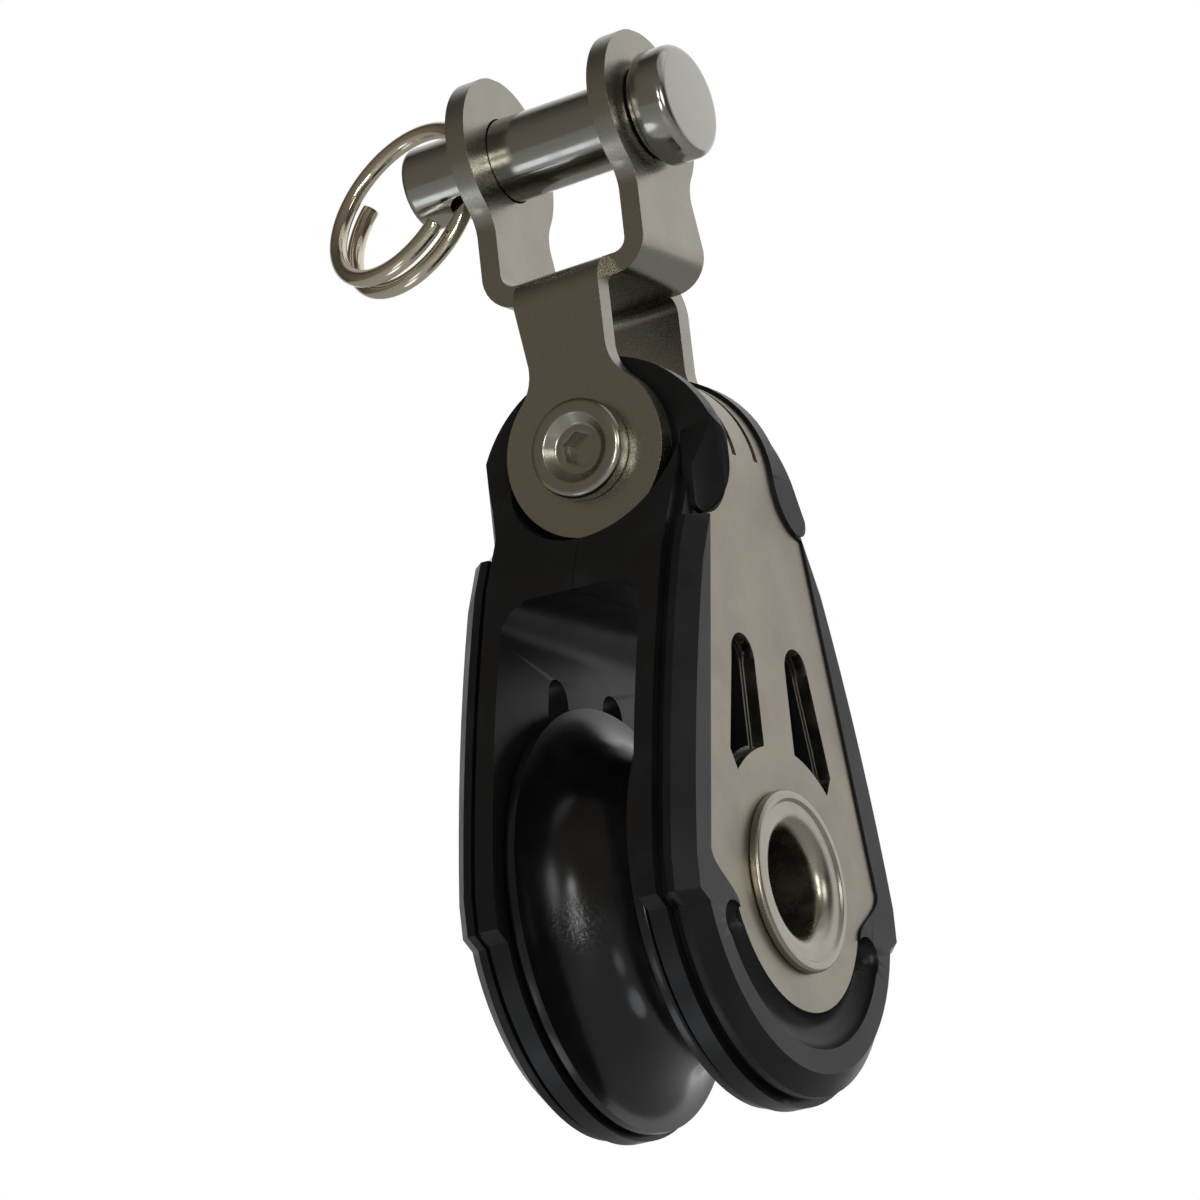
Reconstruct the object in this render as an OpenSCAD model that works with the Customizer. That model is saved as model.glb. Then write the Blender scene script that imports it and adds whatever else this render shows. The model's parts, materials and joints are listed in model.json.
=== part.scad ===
// Single sheave block for a small boat, hung from a two-way toggle.
// Origin: centre of the clevis pin between the upper ears of the toggle.
// +Z up, +X along the axle towards the right cheek, front of the block at -Y. Sizes in mm.

/* [Sheave] */
// Diameter of the sheave over its flanges
sheave_d = 30; // [27:1:34]
// Thickest rope the groove takes
rope_d = 8; // [6:0.5:9]
// Thickness of each sheave flange at the rim
flange_t = 0.8; // [0.6:0.1:1.2]

/* [Axle and bearing] */
// Clear hole through the hollow axle
axle_bore_d = 7.5; // [6.5:0.1:8]
// Wall of the hollow axle
axle_wall = 1.2; // [1:0.1:1.4]
// Diameter of the flange on each end of the axle
axle_flange_d = 12.8; // [12:0.1:14]
// Diameter of the bearing balls
ball_d = 2.6; // [2.2:0.1:2.8]

/* [Cheeks] */
// Thickness of each cheek beside the sheave
cheek_t = 3.8; // [3.4:0.1:4.6]
// Gap between the sheave and each cheek
side_gap = 0.3; // [0.3:0.05:0.5]
// Height of the pivot above the axle
pivot_height = 31.5; // [30:0.5:36]
// Half the depth of the head between the toggle ears
head_half = 4.5; // [4.2:0.1:5]

/* [Strap] */
// Thickness of the steel strap
strap_t = 1; // [0.8:0.1:1.2]
// Width of the strap where it passes over the head
strap_neck = 6.2; // [5.6:0.1:6.6]

/* [Toggle] */
// Thickness of the toggle steel
toggle_t = 1.5; // [1.2:0.1:1.8]
// Radius of the four round ears
ear_r = 6.1; // [5.8:0.1:6.3]
// Distance from the pivot up to the clevis pin
toggle_length = 24.1; // [23.5:0.1:27]
// Clear width between the upper ears
jaw_gap = 10; // [9:0.5:12]
// Angle the toggle leans towards the left cheek at rest
toggle_lean = 4.5; // [0:0.5:15]

/* [Pins] */
// Diameter of the clevis pin
clevis_d = 6; // [5:0.1:6.4]
// Diameter of the pivot barrel
pivot_d = 5; // [4.6:0.1:5.2]
// Diameter of the split ring wire
ring_wire = 1.25; // [1:0.05:1.4]
// Diameter of the split ring outside its wire
ring_d = 13.8; // [13:0.1:16]
// Angle the clevis pin is turned, bringing the foot of its cross hole to the front
pin_turn = 26; // [-60:1:60]
// Angle the split ring is turned towards the rear
ring_turn = 13; // [-20:1:30]

/* [Hidden] */
$fn = 72;

// Clearances
seat_gap = 0.05;
swivel_gap = 0.1;
ear_gap = 0.5;
ball_play = 0.03;
ball_gap = 0.1;
rope_play = 0.4;
eps = 0.01;
reach = 2 * (pivot_height + toggle_length);

// Sheave
sheave_r = sheave_d / 2;
groove_r = rope_d / 2 + rope_play;
groove_centre = sheave_r + 0.2;
sheave_half = groove_r + flange_t;
flange_edge = 0.35;
recess_depth = 0.4;
recess_rim = 2.5;
recess_hub = 1;

// Axle and bearing, sizes are radii unless named otherwise
axle_r = axle_bore_d / 2 + axle_wall;
ball_r = ball_d / 2;
race_wall = 1;
track_share = 0.35;
ball_pitch = axle_r + seat_gap + race_wall + ball_r;
race_r = ball_pitch - (1 - track_share) * ball_r;
outer_race_r = ball_pitch + (1 - track_share) * ball_r;
ball_row = ball_r + 1;
ball_count = floor(180 / asin((ball_r + ball_gap / 2) / ball_pitch));
cap_t = 0.7;
cap_in = race_r + 0.35;
cap_out = outer_race_r + 1;
thrust_t = 0.5;
flange_lift = 0.7;
flange_round = 0.35;
flare_r = 0.8;

// Cheeks: distances out from the centre plane and from the dome axis
cheek_in = sheave_half + side_gap;
face_x = cheek_in + cheek_t;
strap_face = face_x - 0.2;
seat_x = strap_face - strap_t - seat_gap;
lip_x = cheek_in + 1.4;
groove_x = lip_x + 0.6;
bevel_x = face_x - 1.2;

// Cheeks: outline seen from the side
rim_r = sheave_r - 0.2;
lip_grow = 0.5;
groove_sink = 0.5;
wing_y = sheave_r + 0.7;
wing_drop = 2.6;
wing_step = 0.9;
wing_tuck = 0.6;
wing_flat = 0.6;
neck_drop = 9;
neck_y = sheave_r * 0.63;
neck_z = pivot_height - neck_drop;
collar_y = head_half + 1.8;
collar_z = pivot_height - 3.2;
collar_over = 0.4;
side_bulge = 0.55;
bevel_inset = 1.4;
bevel_foot = (rim_r - bevel_inset) / rim_r;
bevel_top = (pivot_height - bevel_inset) / pivot_height;
band_r = rim_r - 4.4;
band_tube = 1.3;
band_end = 4;
band_round = 0.15;
band_sides = 24;

// Head
dome_z = pivot_height - 2.8;
ceiling_z = pivot_height - ear_r - 4.4;
arch_r = 2.5;
arch_z = ceiling_z - arch_r;

// Head seen from above and its lobes beside the strap: front values, then rear values
crown_r = [face_x + 0.2, face_x + 2.2];
lobe_x = [face_x + 0.4, face_x + 0.1];
lobe_y = [6, 7.2];
lobe_stand = 0.4;
lobe_root = 1;
lobe_round = 0.9;

// Strap outline seen from the side
plate_r = rim_r - 5.7;
plate_y = sheave_r - 3;
plate_top_y = neck_y - 2.8;
plate_top_drop = 6.5;
plate_top_z = pivot_height - plate_top_drop;
shoulder_z = 0.7;
shoulder_steps = 8;
plate_foot = 3;
plate_tuck = 0.55;
flare_arc = 4.5;
slit_y = strap_neck / 4;
slit_w = 0.55;
slit_depth = strap_t / 2;
slit_end = pivot_height - 1.4;

// Windows through the strap and cheek, seen from the side
web_half = 2.2;
window_r = plate_r + 0.45;
window_top = sheave_r + 0.4;
window_round = 1.65;
window_trim = 0.3;
window_foot = [sheave_r * 0.483, sheave_r * 0.56];
window_heel = [sheave_r * 0.42, sheave_r * 0.45];

// Toggle
washer_t = 0.4;
washer_inset = 0.3;
ear_in = head_half + washer_t + swivel_gap;
ear_out = ear_in + toggle_t;
jaw_in = jaw_gap / 2;
jaw_out = jaw_in + toggle_t;
bend_in = 1;
bend_out = bend_in + toggle_t;
upper_rise = 11.9;
base_low = toggle_length - upper_rise;
base_top = base_low + toggle_t;
lower_waist = 3.1;
lower_root = 3.4;
upper_waist = 3.9;
upper_root = 4.4;
lower_fillet = 3.5;
upper_fillet = 3;
fillet_bite = 0.003;

// Pivot
bush_wall = 0.85;
bush_r = pivot_d / 2 + swivel_gap / 2 + bush_wall;
pivot_head_r = 3.55;
pivot_head_t = 1.4;
pivot_head_round = 0.45;
pivot_screw_r = 1.6;
screw_floor = 2;
screw_play = 0.5;
dish_r = 2.1;
dish_depth = 0.7;
hex_r = 1.3;
hex_depth = 0.9;

// Clevis pin
pin_r = clevis_d / 2;
pin_overhang = 5.7;
pin_hole_out = 1.7;
pin_tip = jaw_out + pin_overhang;
pin_hole_x = jaw_out + pin_hole_out;
pin_chamfer = 0.5;
pin_head_r = pin_r + 1.15;
pin_head_t = 2.7;
pin_collar_r = pin_r + 0.5;
pin_collar_t = 0.5;
pin_dome = 0.4;

// Split ring, a spring wire wound one and a half turns
ring_mean = (ring_d - ring_wire) / 2;
ring_slot = 0.45;
ring_pitch = ring_wire + ring_slot;
ring_sag = ring_mean - sqrt(ring_mean * ring_mean - pin_r * pin_r);
ring_play = 0.12;
pin_hole_r = ring_wire / 2 + ring_sag / 2 + ring_play;
ring_start = -314;
ring_end = 214;
ring_steps = 66;
wire_sides = 12;

// Places in the shared frame
pivot_x = toggle_length * sin(toggle_lean);
pivot_z = -toggle_length * cos(toggle_lean);

// Moves the toggle, drawn about its pivot, so the clevis pin lies on the origin
module at_toggle() {
    translate([pivot_x, 0, pivot_z]) rotate([0, -toggle_lean, 0]) children();
}

// Moves things drawn about the clevis pin's centre
module at_clevis() {
    rotate([0, -toggle_lean, 0]) children();
}

// Moves the block, drawn about its axle, under the pivot
module at_axle() {
    translate([pivot_x, 0, pivot_z - pivot_height]) children();
}

// Extrudes a side view (y, z) from x0 to x1
module along_x(x0, x1) {
    translate([x0, 0, 0]) rotate([90, 0, 90]) linear_extrude(x1 - x0) children();
}

// Extrudes a front view (x, z) from y0 to y1
module along_y(y0, y1) {
    translate([0, y1, 0]) rotate([90, 0, 0]) linear_extrude(y1 - y0) children();
}

// Turns a profile (radius, x) about the axle
module about_x() {
    rotate([0, 90, 0]) rotate_extrude() children();
}

// Turns a profile (radius, y) about a line running front to rear
module about_y() {
    rotate([-90, 0, 0]) rotate_extrude() children();
}

// Rectangle given by its corners
module patch(x0, y0, x1, y1) {
    translate([x0, y0]) square([x1 - x0, y1 - y0]);
}

// Points of a shallow arc from p to q that bulges by b to the right of the way there
function arc_between(p, q, b, n) = [
    for (i = [0:n])
        let (s = i / n, d = q - p, side = [d[1], -d[0]] / norm(d))
            p + d * s + side * (4 * b * s * (1 - s))
];

// Half outline of a cheek above the axle, grown by g
function wing_points(g) = concat(
    [[0, -wing_drop - wing_step], [rim_r - wing_tuck + g, -wing_drop - wing_step],
        [wing_y + g, -wing_drop], [wing_y + g, -wing_flat]],
    arc_between([wing_y + g, 0], [neck_y + g, neck_z], side_bulge, 8),
    [[collar_y + g, collar_z], [head_half, pivot_height + collar_over], [head_half, reach / 2],
        [0, reach / 2]]
);

// Outline of a cheek from the side
module cheek_outline(g) {
    circle(rim_r + g);
    for (side = [0, 1]) mirror([side, 0]) polygon(wing_points(g));
}

// Front view of everything closer than r to the centre plane and the dome axis
module dome_profile(r) {
    translate([0, dome_z]) circle(r);
    patch(-r, -reach / 2, r, dome_z);
}

// Layer between two such distances
module dome_layer(r0, r1) {
    along_y(-reach / 2, reach / 2) difference() {
        dome_profile(r1);
        if (r0 > 0) dome_profile(r0);
    }
}

// Soft double curve of the strap's edge from the round foot out to the shoulder
function shoulder_points(g) = [
    for (i = [0:shoulder_steps])
        let (s = i / shoulder_steps)
            [plate_r - plate_tuck + g + (plate_y - plate_r + plate_tuck) * (1 - cos(180 * s)) / 2,
                -plate_foot + (shoulder_z + plate_foot) * s]
];

// Side outline of the strap grown by g
module strap_outline(g) {
    neck = strap_neck / 2 + g;
    arc_y = strap_neck / 2 + flare_arc;
    arc_z = plate_top_z + flare_arc;
    circle(plate_r + g);
    for (side = [0, 1]) mirror([side, 0]) {
        polygon(concat([[0, -plate_foot]], shoulder_points(g),
            [[plate_top_y + g, plate_top_z], [0, plate_top_z]]));
        patch(0, arc_z - eps, neck, reach / 2);
        difference() {
            patch(0, plate_top_z - eps, min(plate_top_y + g, arc_y), arc_z);
            translate([arc_y, arc_z]) circle(flare_arc - g);
        }
    }
}

// The two windows beside the web, grown by g
module windows(g) {
    for (side = [0, 1]) mirror([side, 0]) difference() {
        union() {
            translate([web_half + window_round, window_top]) circle(window_round + g);
            polygon([[web_half - g, plate_r / 2], [web_half - g, window_top],
                [web_half + 2 * window_round + g, window_top],
                [window_foot[0] + g, window_foot[1]], [window_heel[0] + g, window_heel[1]]]);
        }
        circle(window_r - g);
    }
}

// Raised lobe of the head beside the strap, seen from the side: 0 is the front one, 1 the rear
module lobe_outline(end) {
    foot_z = plate_top_z + lobe_round / 2;
    mirror([1 - end, 0]) intersection() {
        cheek_outline(0);
        union() {
            translate([strap_neck / 2 + flare_arc, plate_top_z + flare_arc])
                circle(flare_arc - seat_gap);
            patch(strap_neck / 2, plate_top_z + flare_arc, head_half, reach / 2);
        }
        union() {
            patch(0, foot_z + lobe_round, lobe_y[end], reach / 2);
            patch(0, foot_z, lobe_y[end] - lobe_round, reach / 2);
            translate([lobe_y[end] - lobe_round, foot_z + lobe_round]) circle(lobe_round);
        }
    }
}

// The head is round seen from above: cuts what lies beyond r, above the side plates and in
// front of the dome axis (end 0) or behind it (end 1)
module crown_cut(end, r) {
    translate([0, 0, plate_top_z]) mirror([0, 1 - end, 0]) linear_extrude(reach) difference() {
        patch(-reach / 2, 0, reach / 2, reach / 2);
        circle(r);
    }
}

// Outer layer of a cheek, whose rim slopes in to the given share of its height
module bevel_layer(height_share) {
    translate([bevel_x - eps, 0, 0]) rotate([90, 0, 90])
        linear_extrude(face_x - bevel_x, scale = [bevel_foot, height_share], slices = 1)
            cheek_outline(0);
}

// One moulded cheek with its half of the head, on the +X side
module cheek() {
    difference() {
        union() {
            intersection() {
                along_x(0, cheek_in) cheek_outline(lip_grow);
                dome_layer(0, cheek_in);
                along_y(-reach, reach) patch(0, arch_z, cheek_in, reach);
            }
            intersection() {
                along_x(0, reach) cheek_outline(lip_grow);
                dome_layer(cheek_in - eps, lip_x);
            }
            intersection() {
                along_x(0, reach) cheek_outline(-groove_sink);
                dome_layer(lip_x - eps, groove_x);
            }
            difference() {
                intersection() {
                    along_x(0, reach) cheek_outline(0);
                    dome_layer(groove_x - eps, bevel_x);
                }
                for (end = [0, 1]) crown_cut(end, crown_r[end]);
            }
            intersection() {
                bevel_layer(bevel_foot);
                along_y(-reach, reach) patch(0, -reach, reach, 0);
            }
            intersection() {
                bevel_layer(bevel_top);
                union() {
                    along_y(-reach, reach) patch(0, 0, reach, plate_top_z);
                    along_y(0, reach) patch(0, 0, reach, dome_z);
                }
            }
            for (end = [0, 1]) difference() {
                intersection() {
                    along_x(0, reach) lobe_outline(end);
                    dome_layer(bevel_x - lobe_root, lobe_x[end]);
                }
                crown_cut(end, crown_r[end] + lobe_stand);
            }
        }
        // Centre plane where the two halves meet
        translate([-reach + seat_gap / 2, -reach / 2, -reach / 2]) cube(reach);
        // Seat of the strap
        intersection() {
            along_x(0, reach) strap_outline(seat_gap);
            dome_layer(seat_x, reach / 2);
        }
        // Hollow band round the bottom of the outer face, with rounded ends
        intersection() {
            about_x() translate([band_r, face_x + 0.2]) circle(band_tube, $fn = band_sides);
            along_y(-reach, reach) patch(0, -reach, reach, -band_end);
        }
        for (side = [-1, 1])
            translate([face_x + 0.2, side * sqrt(band_r * band_r - band_end * band_end), -band_end])
                sphere(band_tube + band_round, $fn = band_sides);
        along_x(cheek_in - eps, reach) windows(-window_trim);
        // Hole for the axle
        along_x(0, reach) circle(axle_r + seat_gap);
        // Hole for the pivot bush
        translate([0, 0, pivot_height]) along_y(-reach / 2, reach / 2)
            circle(bush_r + seat_gap);
        // Room for the toggle ears in front and behind
        for (side = [0, 1]) mirror([0, side, 0]) translate([0, 0, pivot_height])
            along_y(head_half, reach) circle(ear_r + ear_gap);
        throat_cut();
    }
}

// Arched passage for the rope under the head
module throat_cut() {
    corner_x = cheek_in - arch_r;
    along_y(-reach, reach) {
        patch(-corner_x, arch_z - eps, corner_x, ceiling_z);
        for (side = [-1, 1]) translate([side * corner_x, arch_z]) circle(arch_r);
    }
}

module cheek_right() {
    color("dimgray") at_axle() cheek();
}

module cheek_left() {
    color("dimgray") at_axle() mirror([1, 0, 0]) cheek();
}

// One strip of steel: a side plate, over the head, and down as the other side plate
module strap() {
    color("silver") at_axle() difference() {
        intersection() {
            along_x(-reach, reach) strap_outline(0);
            dome_layer(seat_x + seat_gap, strap_face);
        }
        along_x(-reach, reach) circle(axle_r + seat_gap);
        along_x(-reach, reach) windows(0);
        // Pressed grooves over the head
        for (side = [-1, 1]) intersection() {
            translate([-reach / 2, side * slit_y - slit_w / 2, slit_end])
                cube([reach, slit_w, reach]);
            dome_layer(strap_face - slit_depth, reach / 2);
        }
    }
}

// Tubular rivet with a spun flange and a flared mouth at each end
module axle_tube() {
    flange_x = strap_face + seat_gap / 2;
    end_x = flange_x + flange_lift;
    flange_r = axle_flange_d / 2;
    bore_r = axle_bore_d / 2;
    color("gainsboro") at_axle() about_x() for (side = [0, 1]) mirror([0, side]) {
        patch(bore_r, 0, axle_r, flange_x);
        difference() {
            patch(bore_r, flange_x - eps, flange_r - flange_round, end_x);
            patch(bore_r - eps, end_x - flare_r, bore_r + flare_r, end_x + eps);
        }
        patch(flange_r - flange_round - eps, flange_x, flange_r, end_x - flange_round);
        translate([flange_r - flange_round, end_x - flange_round]) circle(flange_round);
        difference() {
            patch(bore_r, end_x - flare_r - eps, bore_r + flare_r + eps, end_x);
            translate([bore_r, end_x]) circle(flare_r);
        }
    }
}

// Profile of the two ball tracks, cut from both races
module ball_tracks() {
    for (side = [-1, 1])
        translate([ball_pitch, side * ball_row]) circle(ball_r + ball_play);
}

module inner_race() {
    color("whitesmoke") at_axle() about_x() difference() {
        patch(axle_r + seat_gap, -cheek_in + thrust_t + seat_gap, race_r,
            cheek_in - thrust_t - seat_gap);
        ball_tracks();
    }
}

module ball_ring(side) {
    color("white") at_axle() for (i = [0:ball_count - 1])
        rotate([i * 360 / ball_count, 0, 0])
            translate([side * ball_row, 0, ball_pitch]) sphere(ball_r);
}

module bearing_balls_left() {
    ball_ring(-1);
}

module bearing_balls_right() {
    ball_ring(1);
}

// Snap-in ring that keeps one row of balls in the sheave
module race_cap(side) {
    inner = sheave_half - cap_t - seat_gap;
    color("gray") at_axle() mirror([side < 0 ? 1 : 0, 0, 0]) about_x()
        patch(cap_in, inner, cap_out - seat_gap, inner + cap_t);
}

module race_cap_left() {
    race_cap(-1);
}

module race_cap_right() {
    race_cap(1);
}

// Ring between the inner race and one cheek
module thrust_washer(side) {
    color("whitesmoke") at_axle() mirror([side < 0 ? 1 : 0, 0, 0]) about_x()
        patch(axle_r + seat_gap, cheek_in - thrust_t, race_r, cheek_in - seat_gap / 2);
}

module thrust_washer_left() {
    thrust_washer(-1);
}

module thrust_washer_right() {
    thrust_washer(1);
}

module sheave() {
    cap_floor = sheave_half - cap_t - 2 * seat_gap;
    color("dimgray") at_axle() about_x() difference() {
        patch(outer_race_r, -sheave_half, sheave_r, sheave_half);
        ball_tracks();
        translate([groove_centre, 0]) circle(groove_r);
        for (side = [0, 1]) mirror([0, side]) {
            patch(0, cap_floor, cap_out, reach);
            // Shallow recess in the side of the sheave
            patch(cap_out + recess_hub, sheave_half - recess_depth, sheave_r - recess_rim,
                reach);
            // Broken outer edge of the flange
            translate([sheave_r, sheave_half]) rotate(45)
                square([sqrt(2) * flange_edge, 3 * flange_edge], center = true);
        }
    }
}

// Flat leg of the toggle: a round ear about the origin, a waist, and a root at its length.
// The circles that cut the waist dip a hair into the ear, so no two arcs only touch.
module leg_outline(waist, fillet, root, length) {
    fillet_y = sqrt(pow(ear_r + fillet - fillet_bite, 2) - pow(waist + fillet, 2));
    circle(ear_r);
    difference() {
        polygon([[0, 0], [waist + fillet, fillet_y], [-waist - fillet, fillet_y]]);
        for (side = [-1, 1]) translate([side * (waist + fillet), fillet_y]) circle(fillet);
    }
    polygon([[-waist, fillet_y], [waist, fillet_y], [root, length], [-root, length]]);
}

// Quarter bend in a strip of the given half width
module bend(half_width) {
    rotate([90, 0, 0]) linear_extrude(2 * half_width, center = true) intersection() {
        difference() {
            circle(bend_out);
            circle(bend_in);
        }
        square(bend_out + eps);
    }
}

// One stamping: a square base, two legs folded down and two folded up at right angles to them
module toggle() {
    lower_end = base_top - bend_out;
    upper_start = base_low + bend_out;
    upper_length = toggle_length - upper_start;
    lower_bend = ear_out - bend_out;
    upper_bend = jaw_out - bend_out;
    color("lightgray") at_toggle() {
        difference() {
            for (side = [0, 1]) mirror([0, side, 0])
                along_y(ear_in, ear_out)
                    leg_outline(lower_waist, lower_fillet, lower_root, lower_end);
            along_y(-reach, reach) circle(pivot_d / 2 + seat_gap);
        }
        for (side = [0, 1]) mirror([0, side, 0])
            translate([0, lower_bend, lower_end]) rotate([0, 0, 90]) bend(lower_root);
        translate([-lower_root, -lower_bend, base_low])
            cube([2 * lower_root, 2 * lower_bend, toggle_t]);
        translate([-upper_bend, -upper_root, base_low])
            cube([2 * upper_bend, 2 * upper_root, toggle_t]);
        for (side = [0, 1]) mirror([side, 0, 0])
            translate([upper_bend, 0, upper_start]) mirror([0, 0, 1]) bend(upper_root);
        difference() {
            for (side = [0, 1]) mirror([side, 0, 0])
                translate([0, 0, toggle_length]) mirror([0, 0, 1]) along_x(jaw_in, jaw_out)
                    leg_outline(upper_waist, upper_fillet, upper_root, upper_length);
            translate([0, 0, toggle_length]) along_x(-reach, reach) circle(pin_r + swivel_gap);
        }
    }
}

// Headed pin with a cross hole for the split ring
module clevis_pin() {
    head_x = jaw_out + swivel_gap;
    face = head_x + pin_collar_t + pin_head_t;
    color("gainsboro") at_clevis() difference() {
        about_x() {
            polygon([[0, -pin_tip], [pin_r - pin_chamfer, -pin_tip],
                [pin_r, -pin_tip + pin_chamfer], [pin_r, head_x + eps], [0, head_x + eps]]);
            patch(0, head_x, pin_collar_r, head_x + pin_collar_t + eps);
            patch(0, head_x + pin_collar_t, pin_head_r, face - pin_dome);
            patch(0, face - pin_dome - eps, pin_head_r - pin_dome, face);
            translate([pin_head_r - pin_dome, face - pin_dome]) circle(pin_dome);
        }
        rotate([-pin_turn, 0, 0]) translate([-pin_hole_x, 0, -reach / 2])
            cylinder(r = pin_hole_r, h = reach);
    }
}

// Centre line of the split ring, t degrees round and down from the cross hole
function ring_radial(t) = [cos(t), 0, -sin(t)];
function ring_point(t) = [ring_mean * (cos(t) - 1) + ring_sag / 2, ring_pitch * t / 360,
    -ring_mean * sin(t)];
function ring_angle(i) = ring_start + (ring_end - ring_start) * i / ring_steps;

// Least gap between neighbouring turns of the wire, measured between points on its centre line
ring_gap = min([
    for (i = [0:ring_steps], j = [0:ring_steps])
        if (ring_angle(j) - ring_angle(i) > 180)
            norm(ring_point(ring_angle(j)) - ring_point(ring_angle(i))) - ring_wire
]);
echo(ring_gap = ring_gap);

// Spring wire through the cross hole, one and a half turns in one unbroken tube
module split_ring() {
    points = [
        for (i = [0:ring_steps], j = [0:wire_sides - 1])
            let (t = ring_angle(i), a = 360 * j / wire_sides)
                ring_point(t) + ring_wire / 2 * (cos(a) * ring_radial(t) + sin(a) * [0, 1, 0])
    ];
    sides = [
        for (i = [0:ring_steps - 1], j = [0:wire_sides - 1], half = [0, 1])
            let (a = i * wire_sides, b = a + wire_sides, k = (j + 1) % wire_sides)
                half == 0 ? [a + j, a + k, b + k] : [a + j, b + k, b + j]
    ];
    last = ring_steps * wire_sides;
    ends = [
        for (j = [1:wire_sides - 2], half = [0, 1])
            half == 0 ? [0, j + 1, j] : [last, last + j, last + j + 1]
    ];
    color("gainsboro") at_clevis() rotate([-pin_turn, 0, 0])
        translate([-pin_hole_x, 0, 0]) rotate([0, 0, -ring_turn])
            polyhedron(points, concat(sides, ends), convexity = 6);
}

// Raised round head of the pivot, with a dish, from y = 0 outwards
module pivot_head() {
    round_r = pivot_head_round;
    difference() {
        about_y() {
            patch(0, 0, pivot_head_r, pivot_head_t - round_r);
            patch(0, 0, pivot_head_r - round_r, pivot_head_t);
            translate([pivot_head_r - round_r, pivot_head_t - round_r]) circle(round_r);
        }
        along_y(pivot_head_t - dish_depth, pivot_head_t + 1) circle(dish_r);
        along_y(pivot_head_t - dish_depth - hex_depth, pivot_head_t) circle(hex_r, $fn = 6);
    }
}

// Headed sleeve that carries the block, put in from the front
module pivot_barrel() {
    color("gainsboro") at_toggle() difference() {
        union() {
            mirror([0, 1, 0]) translate([0, ear_out + seat_gap / 2, 0]) pivot_head();
            along_y(-ear_out - seat_gap, ear_out - seat_gap) circle(pivot_d / 2);
        }
        along_y(-ear_out + screw_floor, reach) circle(pivot_screw_r + seat_gap);
    }
}

// Screw that closes the barrel from the rear
module pivot_screw() {
    color("silver") at_toggle() {
        translate([0, ear_out + seat_gap / 2, 0]) pivot_head();
        along_y(-ear_out + screw_floor + screw_play, ear_out + seat_gap)
            circle(pivot_screw_r);
    }
}

// Bearing sleeve held in the head by the two cheeks
module pivot_bush() {
    color("darkgray") at_axle() translate([0, 0, pivot_height])
        along_y(-head_half, head_half) difference() {
            circle(bush_r);
            circle(pivot_d / 2 + swivel_gap / 2);
        }
}

// Ring between the head and one toggle ear
module wear_washer() {
    at_axle() translate([0, 0, pivot_height])
        along_y(head_half + seat_gap / 2, head_half + washer_t) difference() {
            circle(ear_r - washer_inset);
            circle(pivot_d / 2 + washer_inset);
        }
}

module wear_washer_front() {
    color("black") mirror([0, 1, 0]) wear_washer();
}

module wear_washer_rear() {
    color("black") wear_washer();
}

toggle();
clevis_pin();
split_ring();
pivot_barrel();
pivot_screw();
pivot_bush();
wear_washer_front();
wear_washer_rear();
cheek_left();
cheek_right();
strap();
axle_tube();
inner_race();
bearing_balls_left();
bearing_balls_right();
race_cap_left();
race_cap_right();
thrust_washer_left();
thrust_washer_right();
sheave();
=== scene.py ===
"""The finished look of a small sailing block on a two-way toggle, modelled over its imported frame."""

import json
import math

import bpy
from mathutils import Matrix, Vector


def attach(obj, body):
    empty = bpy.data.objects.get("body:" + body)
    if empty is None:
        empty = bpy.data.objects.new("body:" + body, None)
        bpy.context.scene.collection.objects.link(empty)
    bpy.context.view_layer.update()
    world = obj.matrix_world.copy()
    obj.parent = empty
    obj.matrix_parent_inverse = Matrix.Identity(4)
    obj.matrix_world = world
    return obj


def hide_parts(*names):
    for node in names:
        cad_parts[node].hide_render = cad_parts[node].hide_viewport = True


bl_info = {
    "name": "Sailing Block Look",
    "version": (1, 0, 0),
    "blender": (4, 5, 0),
    "location": "3D View > Sidebar > Block",
    "description": "Models and dresses a sailing block, its toggle and its pins",
    "category": "Object",
}

MM = 0.001

# Vertices that lie nearer than this are one vertex
SAME_POINT = 1e-7

# Faces that meet at less than this angle are one flat patch
FLAT_ANGLE = math.radians(0.5)

# An arc at a corner takes no more than this share of each side that it joins
MOST_OF_SIDE = 0.49

# A solid turned profile starts and ends this far from its axis, on a small flat face
NEAR_AXIS = 0.3 * MM

# Rounding of a small turned edge
TURNED_EDGE = 0.12 * MM

# Gap under a head or a flange that bears on a sheet
SEAT_GAP = 0.025 * MM

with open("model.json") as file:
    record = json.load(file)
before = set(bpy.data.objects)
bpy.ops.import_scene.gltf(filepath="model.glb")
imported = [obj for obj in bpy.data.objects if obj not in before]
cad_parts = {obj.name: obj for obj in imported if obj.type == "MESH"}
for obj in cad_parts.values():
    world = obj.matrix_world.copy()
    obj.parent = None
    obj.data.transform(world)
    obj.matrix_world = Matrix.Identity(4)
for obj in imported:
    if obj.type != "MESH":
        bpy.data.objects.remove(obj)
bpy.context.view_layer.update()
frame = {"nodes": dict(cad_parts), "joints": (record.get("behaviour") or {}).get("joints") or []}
joints = {joint["name"]: joint for joint in frame["joints"]}

# Places and directions that the frame's joints give
PIVOT = Vector(joints["block_swing"]["pos_m"])
AXLE = Vector(joints["sheave_spin"]["pos_m"])
PIN_AXIS = Vector(joints["pin_turn"]["axis"]).normalized()
CROSS_HOLE = Vector(joints["ring_swing"]["pos_m"])
PIN_TURN = math.asin(joints["ring_swing"]["axis"][1])
LEAN = math.atan2(PIN_AXIS.z, PIN_AXIS.x)

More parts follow.
